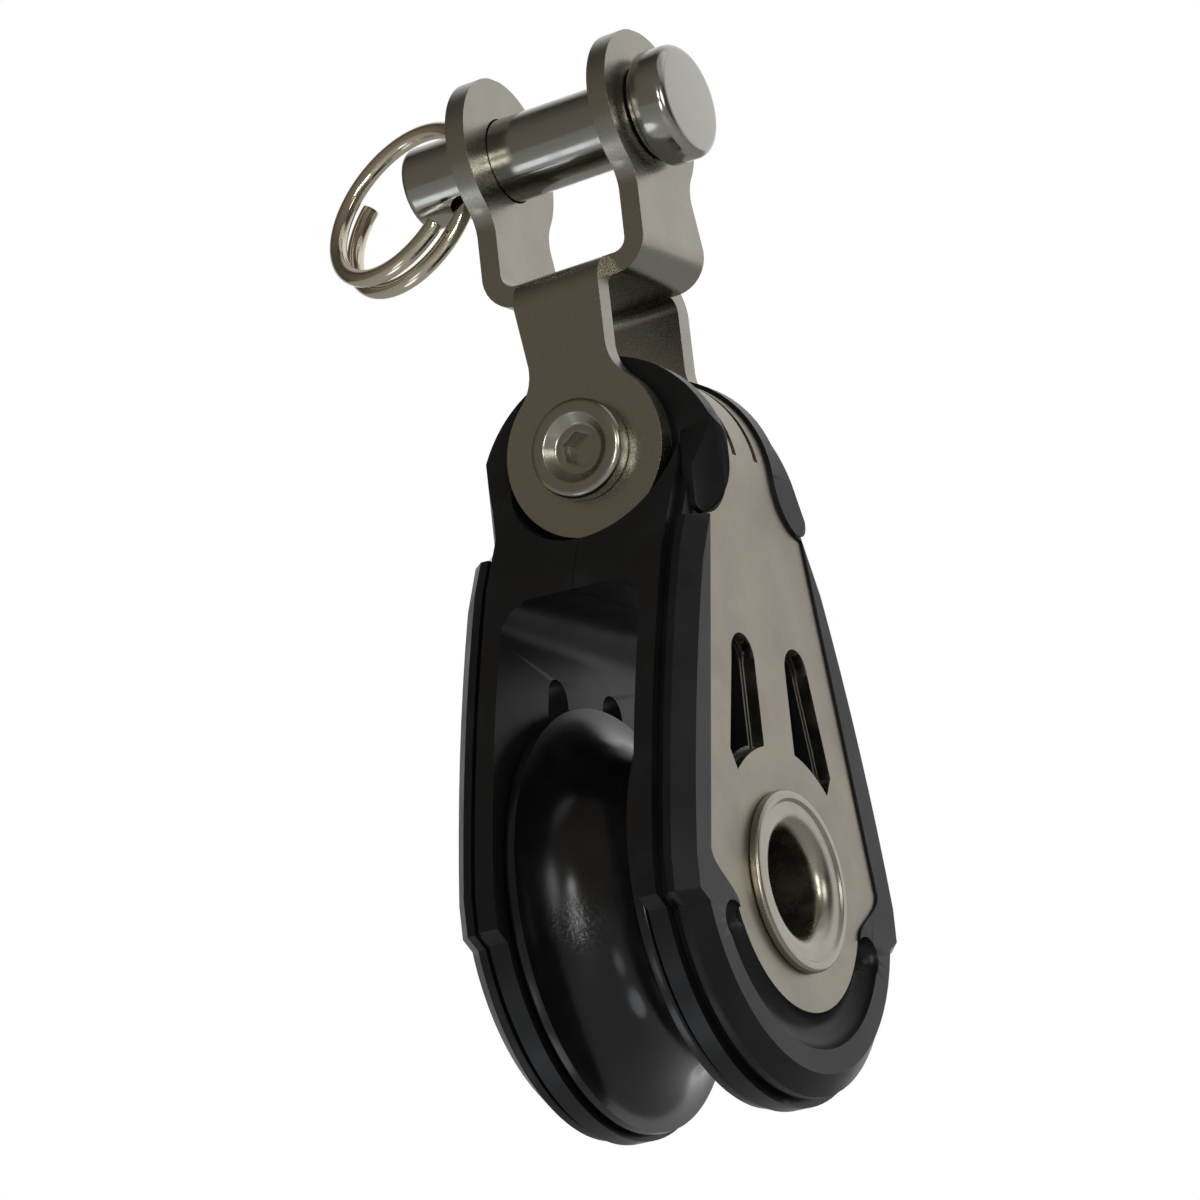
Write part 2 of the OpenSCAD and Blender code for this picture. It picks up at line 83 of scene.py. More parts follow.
# Frames in which the pieces are drawn before they go to their places
AT_AXLE = Matrix.Translation(AXLE)
AT_PIVOT = Matrix.Translation(PIVOT) @ Matrix.Rotation(-LEAN, 4, "Y")
AT_PIN = Matrix.Rotation(-LEAN, 4, "Y") @ Matrix.Rotation(-PIN_TURN, 4, "X")
AT_CROSS_HOLE = Matrix.Translation((-CROSS_HOLE.length, 0, 0))
ALONG_X = Matrix.Rotation(math.pi / 2, 4, "Y")
TO_FRONT = Matrix.Rotation(math.pi / 2, 4, "X")
TO_REAR = Matrix.Rotation(-math.pi / 2, 4, "X")

# A small turn that keeps a cutter's edges off the edges of the turned piece that it cuts
OFF_EDGES = Matrix.Rotation(math.radians(1.3), 4, "Z")


def length(name, about, size):
    """A length property whose default is given in millimetres."""
    return bpy.props.FloatProperty(
        name=name, description=about, default=size * MM, min=0.0, unit="LENGTH", precision=5
    )


def linear(code):
    """The linear colour of an sRGB hex code such as "#8a8a88"."""
    shares = [int(code[i : i + 2], 16) / 255 for i in (1, 3, 5)]
    return tuple(s / 12.92 if s <= 0.04045 else ((s + 0.055) / 1.055) ** 2.4 for s in shares) + (1.0,)


def tint(name, about, code):
    """A colour property whose default is an sRGB hex code."""
    return bpy.props.FloatVectorProperty(
        name=name, description=about, default=linear(code), size=4, min=0, max=1, subtype="COLOR"
    )


class ToggleSizes(bpy.types.PropertyGroup):
    """Sizes of the folded steel toggle."""

    sheet: length("Sheet", "Thickness of the toggle steel", 1.5)
    ear_radius: length("Ear radius", "Radius of the four round ears", 6.1)
    ear_inside: length("Ear inside", "From the middle to the inside of an ear", 5.0)
    bend_inside: length("Bend inside", "Inner radius of each fold", 1.0)
    pivot_to_pin: length("Pivot to pin", "From the pivot to the clevis pin", 24.1)
    base_above_pivot: length("Base height", "From the pivot up to the underside of the base", 12.2)
    lower_waist: length("Lower waist", "Half width of a lower leg at its waist", 3.1)
    lower_root: length("Lower root", "Half width of a lower leg at its fold", 3.4)
    lower_fillet: length("Lower fillet", "Radius between a lower ear and its leg", 3.5)
    upper_waist: length("Upper waist", "Half width of an upper leg at its waist", 3.9)
    upper_root: length("Upper root", "Half width of an upper leg at its fold", 4.4)
    upper_fillet: length("Upper fillet", "Radius between an upper ear and its leg", 3.0)
    pivot_hole: length("Pivot hole", "Radius of the hole for the pivot barrel", 2.55)
    pin_hole: length("Pin hole", "Radius of the hole for the clevis pin", 3.1)
    edge: length("Edge", "Tumbled rounding of the cut edges", 0.28)


class PinSizes(bpy.types.PropertyGroup):
    """Sizes of the clevis pin, the split ring and the pivot."""

    pin_radius: length("Pin radius", "Radius of the clevis pin", 3.0)
    pin_tip: length("Pin tip", "From the middle to the end with the cross hole", 12.2)
    head_start: length("Head start", "From the middle to the collar under the pin's head", 6.6)
    head_radius: length("Head radius", "Radius of the pin's head", 4.15)
    head_height: length("Head height", "Height of the pin's head with its collar", 3.2)
    cross_hole: length("Cross hole", "Radius of the hole for the split ring", 1.13)
    wire: length("Wire", "Diameter of the split ring's wire", 1.25)
    ring: length("Ring", "Outside diameter of the split ring", 13.74)
    barrel_radius: length("Barrel radius", "Radius of the pivot barrel", 2.5)
    pivot_head: length("Pivot head", "Radius of the pivot's head", 3.55)
    pivot_rise: length("Pivot rise", "How far the pivot's head stands off the ear", 1.4)
    screw_radius: length("Screw radius", "Radius of the screw in the barrel", 1.6)


class BlockSizes(bpy.types.PropertyGroup):
    """Sizes of the cheeks' edges, the strap, the axle and the sheave."""

    strap_face: length("Strap face", "From the middle plane to the strap's outer face", 9.1)
    sheared_edge: length("Sheared edge", "Rounding of the strap's edges", 0.14)
    axle_bore: length("Axle bore", "Radius of the bore of the hollow axle", 3.75)
    axle_radius: length("Axle radius", "Radius of the axle inside the block", 4.95)
    axle_flange: length("Axle flange", "Radius of the spun flange", 6.4)
    flange_lip: length("Flange lip", "Width of the raised lip round the flange", 0.65)
    flange_dish: length("Flange dish", "Depth of the flange's face below its lip", 0.2)
    sheave_radius: length("Sheave radius", "Radius of the sheave", 15.0)
    sheave_half: length("Sheave half", "Half the width of the sheave", 5.2)
    groove: length("Groove", "Radius of the rope groove", 4.4)
    sheave_hole: length("Sheave hole", "Radius of the sheave's bore for the balls", 8.14)
    moulded_edge: length("Moulded edge", "Rounding of the moulded cheeks' edges", 0.3)


class Finishes(bpy.types.PropertyGroup):
    """Colours of the real materials."""

    stamped_steel: tint("Stamped steel", "Satin stainless sheet", "#9b978c")
    strap_steel: tint("Strap steel", "Brushed stainless strip", "#989184")
    flange_steel: tint("Flange steel", "Spun stainless tube", "#9e998d")
    turned_steel: tint("Turned steel", "Polished stainless bar", "#a3a19a")
    spring_steel: tint("Spring steel", "Drawn and polished wire", "#cfc6b4")
    nylon: tint("Nylon", "Glass-filled black nylon", "#0d0d0e")
    acetal: tint("Acetal", "Black acetal", "#0a0a0b")
    white_acetal: tint("White acetal", "Natural acetal", "#dedcd2")
    paper: tint("Paper", "Pale floor", "#b4b4b2")


# Greys of the haze in a moulded skin and of a rubbed patch, whose pale specks are partly wear and partly a
# painted highlight
HAZE_GREY = linear("#3a3b3c")
RUBBED_AND_GLINT_GREY = linear("#2c2c2b")


# Modelling helpers


def begin():
    """Leaves edit mode and selects nothing, ready for a new primitive."""
    if bpy.context.mode != "OBJECT":
        bpy.ops.object.mode_set(mode="OBJECT")
    bpy.ops.object.select_all(action="DESELECT")


def pick(piece):
    """Leaves edit mode and makes this the one selected and active piece."""
    begin()
    bpy.context.view_layer.objects.active = piece
    piece.select_set(True)


def select_faces(piece):
    """Goes into edit mode with every face of the piece selected."""
    pick(piece)
    bpy.ops.object.mode_set(mode="EDIT")
    bpy.ops.mesh.select_all(action="SELECT")


def rounded(corners, steps=5):
    """A line whose inner corners (a, b, radius) are replaced by arcs of that radius."""
    outline = []
    ends = (0, len(corners) - 1)
    for i, (a, b, radius) in enumerate(corners):
        corner = Vector((a, b))
        if radius <= 0 or i in ends:
            outline.append(corner)
            continue
        back = Vector(corners[i - 1][:2]) - corner
        ahead = Vector(corners[i + 1][:2]) - corner
        half = back.angle(ahead) / 2
        room = min(back.length * MOST_OF_SIDE, ahead.length * MOST_OF_SIDE)
        reach = min(radius / math.tan(half), room)
        centre = corner + (back.normalized() + ahead.normalized()).normalized() * reach / math.cos(half)
        first = corner + back.normalized() * reach - centre
        turn = first.to_3d().cross(corner.to_3d() + ahead.normalized().to_3d() * reach - centre.to_3d()).z
        sweep = math.copysign(math.pi - 2 * half, turn)
        for k in range(steps + 1):
            spoke = first.to_3d()
            spoke.rotate(Matrix.Rotation(sweep * k / steps, 3, "Z"))
            outline.append(centre + spoke.to_2d())
    return outline


def arc(centre, radius, start, end, steps):
    """Points of an arc, with its angles in degrees."""
    angles = [math.radians(start + (end - start) * k / steps) for k in range(steps + 1)]
    return [Vector((centre[0] + radius * math.cos(t), centre[1] + radius * math.sin(t))) for t in angles]


def mirrored(points):
    """The points in reverse order on the other side of height 0."""
    return [Vector((p.x, -p.y)) for p in reversed(points)]


def turned(name, profile, ring=False, segments=96):
    """A turned piece about Z: a circle is extruded from point to point of (radius, height).

    A ring's profile is closed and its last point meets its first. Otherwise both ends are capped.
    """
    begin()
    radius, height = profile[0]
    bpy.ops.mesh.primitive_circle_add(
        vertices=segments,
        radius=radius,
        fill_type="NOTHING" if ring else "NGON",
        location=(0, 0, height),
    )
    piece = bpy.context.object
    piece.name = name
    bpy.ops.object.transform_apply()
    bpy.ops.object.mode_set(mode="EDIT")
    points = list(profile[1:]) + ([profile[0]] if ring else [])
    for next_radius, next_height in points:
        bpy.ops.mesh.extrude_region_move(TRANSFORM_OT_translate={"value": (0, 0, next_height - height)})
        scale = next_radius / radius
        bpy.ops.transform.resize(value=(scale, scale, 1), center_override=(0, 0, next_height))
        radius, height = next_radius, next_height
    close_up(piece)
    return piece


def straight_cutter(name, radius, low, high, segments=96):
    """A cutter about Z from low to high: round with many segments, a socket's shape with six."""
    return turned(name, [(radius, low), (radius, high)], segments=segments)


def close_up(piece):
    """Merges doubled vertices, turns the faces outwards and leaves edit mode."""
    if bpy.context.mode == "OBJECT":
        select_faces(piece)
    bpy.ops.mesh.select_all(action="SELECT")
    bpy.ops.mesh.remove_doubles(threshold=SAME_POINT)
    bpy.ops.mesh.normals_make_consistent(inside=False)
    bpy.ops.object.mode_set(mode="OBJECT")


def strip(name, stations, thickness):
    """A bent strip of sheet. Each station is (x, z, half width in Y) on the sheet's middle.

    A plane is cut down to one edge, which is laid across the first station and extruded from
    station to station.
    """
    begin()
    bpy.ops.mesh.primitive_plane_add(size=1)
    piece = bpy.context.object
    piece.name = name
    bpy.ops.object.mode_set(mode="EDIT")
    bpy.ops.mesh.select_all(action="DESELECT")
    bpy.ops.object.mode_set(mode="OBJECT")
    for vertex in piece.data.vertices:
        vertex.select = vertex.co.x > 0
    bpy.ops.object.mode_set(mode="EDIT")
    bpy.ops.mesh.delete(type="VERT")
    bpy.ops.object.mode_set(mode="OBJECT")
    x, z, half = stations[0]
    for vertex in piece.data.vertices:
        vertex.co = (x, math.copysign(half, vertex.co.y), z)
        vertex.select = True
    for edge in piece.data.edges:
        edge.select = True
    bpy.ops.object.mode_set(mode="EDIT")
    for next_x, next_z, next_half in stations[1:]:
        step = (next_x - x, 0, next_z - z)
        bpy.ops.mesh.extrude_region_move(TRANSFORM_OT_translate={"value": step})
        bpy.ops.transform.resize(value=(1, next_half / half, 1), center_override=(next_x, 0, next_z))
        x, z, half = next_x, next_z, next_half
    close_up(piece)
    sheet = piece.modifiers.new("sheet", "SOLIDIFY")
    sheet.thickness = thickness
    sheet.offset = 0
    sheet.use_even_offset = True
    apply_modifiers(piece)
    return piece


def apply_modifiers(piece):
    """Applies every modifier of the piece in order."""
    pick(piece)
    for modifier in list(piece.modifiers):
        bpy.ops.object.modifier_apply(modifier=modifier.name)


def move(piece, matrix):
    """Moves the mesh of a piece, so that its object stays at the origin."""
    piece.data.transform(matrix)
    piece.data.update()
    return piece


def combine(piece, operation, others):
    """Cuts the other pieces from this one, or joins them to it, and deletes them."""
    for other in others:
        modifier = piece.modifiers.new(operation, "BOOLEAN")
        modifier.operation = operation
        modifier.solver = "EXACT"
        modifier.object = other
        apply_modifiers(piece)
        bpy.data.objects.remove(other, do_unlink=True)
    return piece


def join_flat_faces(piece):
    """Makes one face of each flat patch, so that it is shaded flat."""
    select_faces(piece)
    bpy.ops.mesh.dissolve_limited(angle_limit=FLAT_ANGLE)
    bpy.ops.object.mode_set(mode="OBJECT")


def cut_into_triangles(piece):
    """Cuts the faces into triangles, because a bevel folds a face that goes round a hole."""
    select_faces(piece)
    bpy.ops.mesh.quads_convert_to_tris(quad_method="BEAUTY", ngon_method="BEAUTY")
    bpy.ops.object.mode_set(mode="OBJECT")


def soften(piece, width, angle, segments=3):
    """Rounds the edges sharper than the angle and shades the rest smooth."""
    bevel = piece.modifiers.new("soften", "BEVEL")
    bevel.width = width
    bevel.segments = segments
    bevel.limit_method = "ANGLE"
    bevel.angle_limit = math.radians(angle)
    bevel.miter_outer = "MITER_ARC"
    bevel.use_clamp_overlap = True
    apply_modifiers(piece)
    smooth(piece)
    flat = piece.modifiers.new("flat faces", "WEIGHTED_NORMAL")
    flat.keep_sharp = True
    apply_modifiers(piece)


def smooth(piece, angle=32):
    """Shades a piece smooth except at its sharp edges."""
    pick(piece)
    bpy.ops.object.shade_smooth_by_angle(angle=math.radians(angle))


def copy_of_node(node, name):
    """A piece that starts as a copy of a CAD node, its loose triangles merged."""
    source = frame["nodes"][node]
    piece = bpy.data.objects.new(name, source.data.copy())
    bpy.context.scene.collection.objects.link(piece)
    piece.data.materials.clear()
    close_up(piece)
    pick(piece)
    bpy.ops.mesh.customdata_custom_splitnormals_clear()
    return piece


def finish_piece(piece, material, body, *nodes):
    """Gives a piece its material and body and lets it stand for its CAD nodes."""
    piece.data.materials.clear()
    piece.data.materials.append(material)
    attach(piece, body)
    if nodes:
        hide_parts(*nodes)


def dress_node(name, material):
    """Puts a material in every slot of a CAD node that stays."""
    node = frame["nodes"][name]
    if not node.data.materials:
        node.data.materials.append(material)
    for slot in node.material_slots:
        slot.material = material


# Materials


def add(tree, kind, values=None, links=None, **settings):
    """Adds a node with its settings, its socket values and the links into it."""
    made = tree.nodes.new(kind)
    for name, value in settings.items():
        setattr(made, name, value)
    for socket, value in (values or {}).items():
        made.inputs[socket].default_value = value
    for socket, source in (links or {}).items():
        tree.links.new(source, made.inputs[socket])
    return made


def spread(tree, value, low, high, new_low, new_high):
    """Carries the range low to high of a value to a new range and stops at its ends."""
    span = {"From Min": low, "From Max": high, "To Min": new_low, "To Max": new_high}
    return add(tree, "ShaderNodeMapRange", span, {"Value": value}).outputs["Result"]


def noise(tree, place, spacing, detail):
    """Cloudy noise at a place, with its marks about one spacing apart."""
    return add(
        tree, "ShaderNodeTexNoise", {"Scale": 1 / spacing, "Detail": detail}, {"Vector": place}
    ).outputs["Fac"]


def emboss(tree, shader, height, depth, strength):
    """Lets a height of the given depth bend the shader's normal."""
    bump = add(
        tree, "ShaderNodeBump", {"Strength": strength, "Distance": depth * MM}, {"Height": height}
    ).outputs["Normal"]
    tree.links.new(bump, shader.inputs["Normal"])


def new_material(name, base, metallic, roughness):
    """A material with its shader, its output and the piece's own coordinates."""
    material = bpy.data.materials.new(name)
    material.use_nodes = True
    tree = material.node_tree
    tree.nodes.clear()
    shader = add(
        tree,
        "ShaderNodeBsdfPrincipled",
        {"Base Color": base, "Metallic": metallic, "Roughness": roughness},
    )
    add(tree, "ShaderNodeOutputMaterial", links={"Surface": shader.outputs["BSDF"]})
    place = add(tree, "ShaderNodeTexCoord").outputs["Object"]
    return material, tree, shader, place


def grained_steel(name, base, roughness, grain, stretch, depth):
    """Stainless sheet with a fine grain. The grain and its depth are in millimetres.

    The belt leaves parallel scratches, and tumbling leaves small shallow dents. Both soften the
    reflections and leave the face a little cloudy. Real marks are some 0.03 mm apart. They are
    drawn a few times coarser, so that they show.
    """
    cloud = 4 * MM
    cloud_shade = 0.84
    material, tree, shader, place = new_material(name, base, 1.0, roughness)
    marks_per_metre = 1 / (grain * MM)
    scale = tuple(marks_per_metre / long for long in stretch)
    scaled = add(
        tree, "ShaderNodeMapping", {"Scale": scale}, {"Vector": place}, vector_type="POINT"
    ).outputs["Vector"]
    marks = add(
        tree, "ShaderNodeTexNoise", {"Scale": 1.0, "Detail": 2.0, "Roughness": 0.55}, {"Vector": scaled}
    ).outputs["Fac"]
    clouds = noise(tree, place, cloud, 3.0)
    worn = spread(tree, marks, 0.3, 0.7, roughness - 0.03, roughness + 0.05)
    cloudy = spread(tree, clouds, 0.3, 0.7, -0.03, 0.04)
    total = add(tree, "ShaderNodeMath", {}, {0: worn, 1: cloudy}, operation="ADD").outputs[0]
    tree.links.new(total, shader.inputs["Roughness"])
    shade = add(
        tree,
        "ShaderNodeMixRGB",
        {"Color1": base, "Color2": tuple(cloud_shade * c for c in base[:3]) + (1,)},
        {"Fac": clouds},
    ).outputs["Color"]
    tree.links.new(shade, shader.inputs["Base Color"])
    emboss(tree, shader, marks, depth, strength=0.35)
    return material


def polished_steel(name, base, roughness, centre, axis):
    """Turned and polished stainless bar.

    The lathe leaves rings round the axis, and handling leaves hairline scratches and dull spots. Only the
    rings and the dull spots are drawn.
    """
    ring_spacing = 1.2 * MM
    dull_spot = 1.5 * MM
    material, tree, shader, place = new_material(name, base, 1.0, roughness)
    turn = axis.to_track_quat("Z", "Y").inverted().to_euler()
    moved = add(
        tree, "ShaderNodeVectorMath", {1: tuple(-c for c in centre)}, {0: place}, operation="ADD"
    ).outputs["Vector"]
    on_axis = add(
        tree, "ShaderNodeMapping", {"Rotation": turn}, {"Vector": moved}, vector_type="POINT"
    ).outputs["Vector"]
    rings = add(
        tree,
        "ShaderNodeTexWave",
        {"Scale": 1 / ring_spacing},
        {"Vector": on_axis},
        wave_type="RINGS",
        rings_direction="Z",
    ).outputs["Fac"]
    dull = noise(tree, place, dull_spot, 5.0)
    rough = spread(tree, dull, 0.35, 0.7, roughness, roughness + 0.1)
    tree.links.new(rough, shader.inputs["Roughness"])
    emboss(tree, shader, rings, depth=0.003, strength=0.15)
    return material


def moulded_plastic(name, base, roughness, grit, depth, gloss, worn_and_glint_at=None):
    """Moulded plastic. The grit and its depth are in millimetres.

    The tool's fine spark texture breaks up the gloss, and glass fibre or flow near the skin makes
    the tone uneven. Rubbing turns a patch rough and grey, and the patch's pale grey specks are
    also a painted highlight.
    """
    haze_spacing = 5 * MM
    worn_and_glint_inside = 0.6 * MM
    worn_and_glint_outside = 2.6 * MM
    scuff_height = 6.0
    material, tree, shader, place = new_material(name, base, 0.0, roughness)
    shader.inputs["Specular IOR Level"].default_value = gloss
    skin = noise(tree, place, grit * MM, 3.0)
    haze = noise(tree, place, haze_spacing, 5.0)
    rough = spread(tree, haze, 0.3, 0.75, roughness - 0.05, roughness + 0.08)
    pale = spread(tree, haze, 0.5, 0.8, 0.0, 0.1)
    colour = add(
        tree,
        "ShaderNodeMixRGB",
        {"Color1": base, "Color2": HAZE_GREY},
        {"Fac": pale},
    ).outputs["Color"]
    height = skin
    if worn_and_glint_at is not None:
        gap = add(
            tree, "ShaderNodeVectorMath", {1: worn_and_glint_at}, {0: place}, operation="DISTANCE"
        ).outputs["Value"]
        spot = spread(tree, gap, worn_and_glint_inside, worn_and_glint_outside, 1.0, 0.0)
        specks = spread(tree, skin, 0.45, 0.62, 0.0, 1.0)
        ragged = add(tree, "ShaderNodeMath", {}, {0: spot, 1: specks}, operation="MULTIPLY").outputs[0]
        # Pale grey specks in the patch: rubbed wear and a painted highlight
        colour = add(
            tree, "ShaderNodeMixRGB", {"Color2": RUBBED_AND_GLINT_GREY}, {"Fac": ragged, "Color1": colour}
        ).outputs["Color"]
        scuffs = add(
            tree, "ShaderNodeMath", {1: scuff_height}, {0: ragged}, operation="MULTIPLY"
        ).outputs[0]
        height = add(tree, "ShaderNodeMath", {}, {0: skin, 1: scuffs}, operation="ADD").outputs[0]
    tree.links.new(colour, shader.inputs["Base Color"])
    tree.links.new(rough, shader.inputs["Roughness"])
    emboss(tree, shader, height, depth, strength=0.5)
    return material


def build_materials():
    """Makes every material, unless they are made already."""
    if "moulded glass-filled nylon" in bpy.data.materials:
        return
    looks = bpy.context.scene.block_finishes
    along_x = Vector((1, 0, 0))
    along_y = Vector((0, 1, 0))
    grained_steel(
        "stamped tumbled stainless", looks.stamped_steel, 0.27, grain=0.14, stretch=(1, 1, 1), depth=0.002
    )
    grained_steel(
        "belt-brushed stainless strip", looks.strap_steel, 0.36, grain=0.1, stretch=(12, 1, 12), depth=0.004
    )
    polished_steel("sheared stainless edge", looks.spring_steel, 0.16, AXLE, along_x)
    polished_steel("polished stainless pin", looks.turned_steel, 0.13, Vector(), PIN_AXIS)
    polished_steel("spun stainless axle", looks.flange_steel, 0.24, AXLE, along_x)
    polished_steel("turned stainless pivot", looks.stamped_steel, 0.2, PIVOT, along_y)
    polished_steel("drawn spring steel", looks.spring_steel, 0.1, CROSS_HOLE, along_y)
    moulded_plastic("moulded glass-filled nylon", looks.nylon, 0.36, grit=0.3, depth=0.008, gloss=0.24)
    # The rubbed patch lies where the near-camera lamp's highlight falls on the groove, and its pale specks
    # are partly wear and partly a painted highlight
    worn_and_glint_at = AXLE + Vector((-2.1, -10.9, -2.3)) * MM
    moulded_plastic(
        "moulded black acetal", looks.acetal, 0.2, grit=0.3, depth=0.004, gloss=0.4, worn_and_glint_at=worn_and_glint_at
    )
    moulded_plastic("moulded white acetal", looks.white_acetal, 0.38, grit=0.4, depth=0.006, gloss=0.5)


def material(name):
    """One of the block's materials, made on first use."""
    build_materials()
    return bpy.data.materials[name]


# Operators, one for each piece or group of like pieces


def leg_widths(ear, fillet, waist, root, span):
    """Half widths along a leg from the tip of its ear: a round ear, a fillet, a waist, a root.

    Returned as (distance from the ear's centre, half width). Past the centre, towards the tip,
    the distance is below 0. The outline starts just short of the tip, where it has some width.
    """
    start = -84
    fillet_at = math.sqrt((ear + fillet) ** 2 - (waist + fillet) ** 2)
    meet = math.degrees(math.atan2(fillet_at, waist + fillet))
    round_end = [(p.y, p.x) for p in arc((0, 0), ear, start, meet, steps=26)]
    neck = [(p.y, p.x) for p in arc((waist + fillet, fillet_at), fillet, 180 + meet, 180, steps=7)]
    return round_end + neck[1:] + [(span, root)]


class BLOCK_OT_toggle(bpy.types.Operator):
    """Folds the toggle from two crossed strips of sheet"""

    bl_idname = "block.toggle"
    bl_label = "Toggle"

    reach = 10 * MM

    def execute(self, context):
        size = context.scene.block_toggle
        base = size.base_above_pivot + size.sheet / 2
        lower = self.folded(
            "lower strip", size, base, size.lower_fillet, size.lower_waist, size.lower_root
        )
        above = size.pivot_to_pin - base
        upper = self.folded(
            "upper strip", size, above, size.upper_fillet, size.upper_waist, size.upper_root
        )
        at_pin = Matrix.Translation((0, 0, size.pivot_to_pin))
        move(lower, Matrix.Rotation(math.pi / 2, 4, "Z"))
        move(upper, at_pin @ Matrix.Rotation(math.pi, 4, "X"))
        toggle = combine(lower, "UNION", [upper])
        toggle.name = "folded_toggle"
        pivot_hole = straight_cutter("pivot hole", size.pivot_hole, -self.reach, self.reach)
        pin_hole = straight_cutter("pin hole", size.pin_hole, -self.reach, self.reach)
        move(pivot_hole, TO_FRONT)
        move(pin_hole, at_pin @ ALONG_X)
        combine(toggle, "DIFFERENCE", [pivot_hole, pin_hole])
        join_flat_faces(toggle)
        soften(toggle, size.edge, angle=40)
        move(toggle, AT_PIVOT)
        finish_piece(toggle, material("stamped tumbled stainless"), "toggle", "toggle")
        return {"FINISHED"}

    def folded(self, name, size, height, fillet, waist, root):
        """One strip: down a leg from its ear, round the fold, across the base and up again.

        The height is from the ear's centre to the middle of the base.
        """
        middle = size.ear_inside + size.sheet / 2
        fold = size.bend_inside + size.sheet / 2
        straight = height - fold
        half = leg_widths(size.ear_radius, fillet, waist, root, straight)
        side = [(middle, along, wide) for along, wide in half]
        bend = [(p.x, p.y, root) for p in arc((middle - fold, straight), fold, 0, 90, steps=8)]
        one_side = side + bend[1:]
        other_side = [(-x, z, wide) for x, z, wide in reversed(one_side)]
        return strip(name, one_side + other_side, size.sheet)


class BLOCK_OT_clevis_pin(bpy.types.Operator):
    """Turns the clevis pin and drills its cross hole"""

    bl_idname = "block.clevis_pin"
    bl_label = "Clevis pin"

    tip_rounding = 0.55 * MM
    collar_step = 0.5 * MM
    head_foot = 0.3 * MM
    head_rim = 0.8 * MM
    reach = 5 * MM

    def execute(self, context):
        size = context.scene.block_pins
        end = size.head_start + size.head_height
        collar = size.pin_radius + self.collar_step
        collar_end = size.head_start + self.collar_step
        profile = rounded(
            [
                (NEAR_AXIS, -size.pin_tip, 0),
                (size.pin_radius, -size.pin_tip, self.tip_rounding),
                (size.pin_radius, size.head_start, TURNED_EDGE),
                (collar, size.head_start, TURNED_EDGE),
                (collar, collar_end, TURNED_EDGE),
                (size.head_radius, collar_end, self.head_foot),
                (size.head_radius, end, self.head_rim),
                (NEAR_AXIS, end, 0),
            ]
        )
        pin = turned("clevis_pin_turned", profile)
        move(pin, ALONG_X)
        hole = straight_cutter("cross hole", size.cross_hole, -self.reach, self.reach, segments=48)
        move(hole, AT_CROSS_HOLE @ OFF_EDGES)
        combine(pin, "DIFFERENCE", [hole])
        cut_into_triangles(pin)
        soften(pin, TURNED_EDGE, angle=50, segments=2)
        move(pin, AT_PIN)
        finish_piece(pin, material("polished stainless pin"), "clevis_pin", "clevis_pin")
        return {"FINISHED"}


class BLOCK_OT_split_ring(bpy.types.Operator):
    """Winds the split ring from one length of spring wire"""

    bl_idname = "block.split_ring"
    bl_label = "Split ring"

    wire_sides = 20
    wire_end = 0.12 * MM
    wind_steps = 150
    pitch_in_wires = 1.36
    first_angle = -314
    last_angle = 214
    yaw = -13

    def execute(self, context):
        size = context.scene.block_pins
        mean = (size.ring - size.wire) / 2
        pitch = self.pitch_in_wires * size.wire
        ring = self.wound(size, mean, pitch)
        sag = mean - math.sqrt(mean**2 - size.pin_radius**2)
        back = Matrix.Translation((0, pitch * self.first_angle / 360, 0))
        move(ring, Matrix.Rotation(math.radians(self.first_angle), 4, "Y") @ back)
        move(ring, Matrix.Translation((sag / 2 - mean, 0, 0)))
        place = AT_CROSS_HOLE @ Matrix.Rotation(math.radians(self.yaw), 4, "Z")
        move(ring, AT_PIN @ place)
        finish_piece(ring, material("drawn spring steel"), "split_ring", "split_ring")
        return {"FINISHED"}

    def wound(self, size, mean, pitch):
        """The wire's round section wound about Y on the mean radius, with both ends closed."""
        sweep = self.last_angle - self.first_angle
        begin()
        bpy.ops.mesh.primitive_circle_add(
            vertices=self.wire_sides, radius=size.wire / 2, fill_type="NOTHING"
        )
        ring = bpy.context.object
        ring.name = "split_ring_wire"
        move(ring, Matrix.Translation((mean, 0, 0)))
        wind = ring.modifiers.new("wind", "SCREW")
        wind.axis = "Y"
        wind.angle = math.radians(sweep)
        wind.screw_offset = pitch * sweep / 360
        wind.steps = self.wind_steps
        wind.render_steps = self.wind_steps
        apply_modifiers(ring)
        select_faces(ring)
        bpy.ops.mesh.fill_holes(sides=self.wire_sides)
        close_up(ring)
        soften(ring, self.wire_end, angle=60, segments=2)
        return ring


